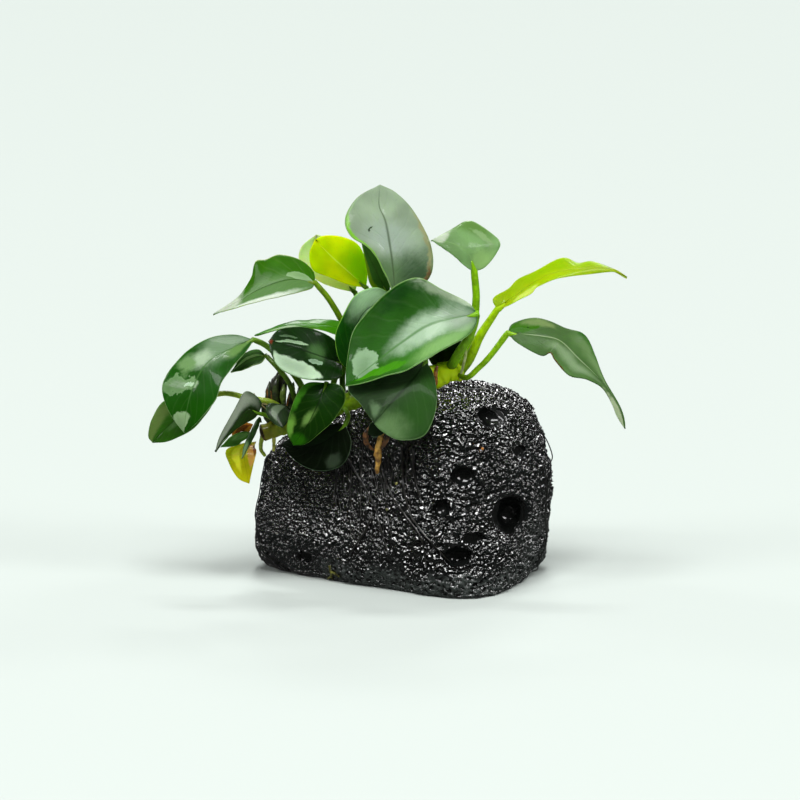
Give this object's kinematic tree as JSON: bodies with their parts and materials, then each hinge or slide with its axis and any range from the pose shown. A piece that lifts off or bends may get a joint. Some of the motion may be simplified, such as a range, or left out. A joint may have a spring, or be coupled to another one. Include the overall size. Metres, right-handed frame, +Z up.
{
  "type": "anubias on stone",
  "caption": "Small broad-leaved water plant whose creeping rhizome is tied and rooted along the top of a lump of wet black lava stone.",
  "frame": {"origin": "the middle of the flat face that the stone rests on", "axes": "+Z up, out of the stone's top; +X to the right and +Y away from the viewer, seen from the plant's front"},
  "size_m": [0.1194, 0.0639, 0.1008],
  "materials": {
    "wet_lava": "wet, glinting",
    "leaf_sage": "satin",
    "leaf_green": "wet gloss",
    "leaf_dark": "wet gloss",
    "leaf_lime": "satin, lets light through",
    "leaf_olive": "satin",
    "leaf_dry": "matt, crinkled",
    "stem_green": "satin",
    "old_bark": "rough",
    "dry_straw": "fibrous",
    "young_root": "satin",
    "root_brown": "satin",
    "thread_grey": "fine"
  },
  "bodies": {
    "root": {"stone": "wet_lava", "rhizome": "stem_green", "leaf_top": "leaf_sage", "leaf_top_back": "leaf_dark", "leaf_centre": "leaf_green", "leaf_centre_left": "leaf_sage", "leaf_left_glossy": "leaf_dark", "leaf_left_thin": "leaf_green", "leaf_left_large": "leaf_green", "leaf_left_low": "leaf_green", "leaf_left_small": "leaf_dark", "leaf_left_narrow": "leaf_dark", "leaf_left_tiny": "leaf_green", "leaf_yellowed": "leaf_olive", "leaf_scrap_dry": "leaf_dry", "leaf_low_left": "leaf_green", "leaf_low_right": "leaf_green", "leaf_rhizome_small": "leaf_dark", "leaf_left_inner": "leaf_green", "leaf_on_stone": "leaf_dark", "leaf_on_stone_small": "leaf_dark", "leaf_upper_right": "leaf_sage", "leaf_young_long": "leaf_lime", "leaf_right_drooping": "leaf_green", "leaf_dark_inner": "leaf_dark", "leaf_lime": "leaf_lime", "leaf_lime_back": "leaf_green", "leaf_upper_left": "leaf_green", "stem_top": "stem_green", "stem_top_back": "stem_green", "stem_centre": "stem_green", "stem_centre_left": "stem_green", "stem_left_glossy": "stem_green", "stem_left_thin": "stem_green", "stem_left_large": "stem_green", "stem_left_low": "stem_green", "stem_left_small": "stem_green", "stem_low_left": "stem_green", "stem_low_right": "stem_green", "stem_left_inner": "stem_green", "stem_on_stone": "stem_green", "stem_on_stone_small": "stem_green", "stem_upper_right": "stem_green", "stem_young_long": "stem_green", "stem_right_drooping": "stem_green", "stem_dark_inner": "stem_green", "stem_lime": "stem_green", "stem_lime_back": "stem_green", "stem_upper_left": "stem_green", "old_leaf_bases": "old_bark", "dead_leaf_stub": "dry_straw", "root_left_pale": "young_root", "root_left_green": "young_root", "dried_sheath": "dry_straw", "root_long": "root_brown", "root_left": "root_brown", "root_centre": "root_brown", "root_right": "root_brown", "root_far_right": "root_brown", "tie_thread": "thread_grey"}
  },
  "joints": []
}
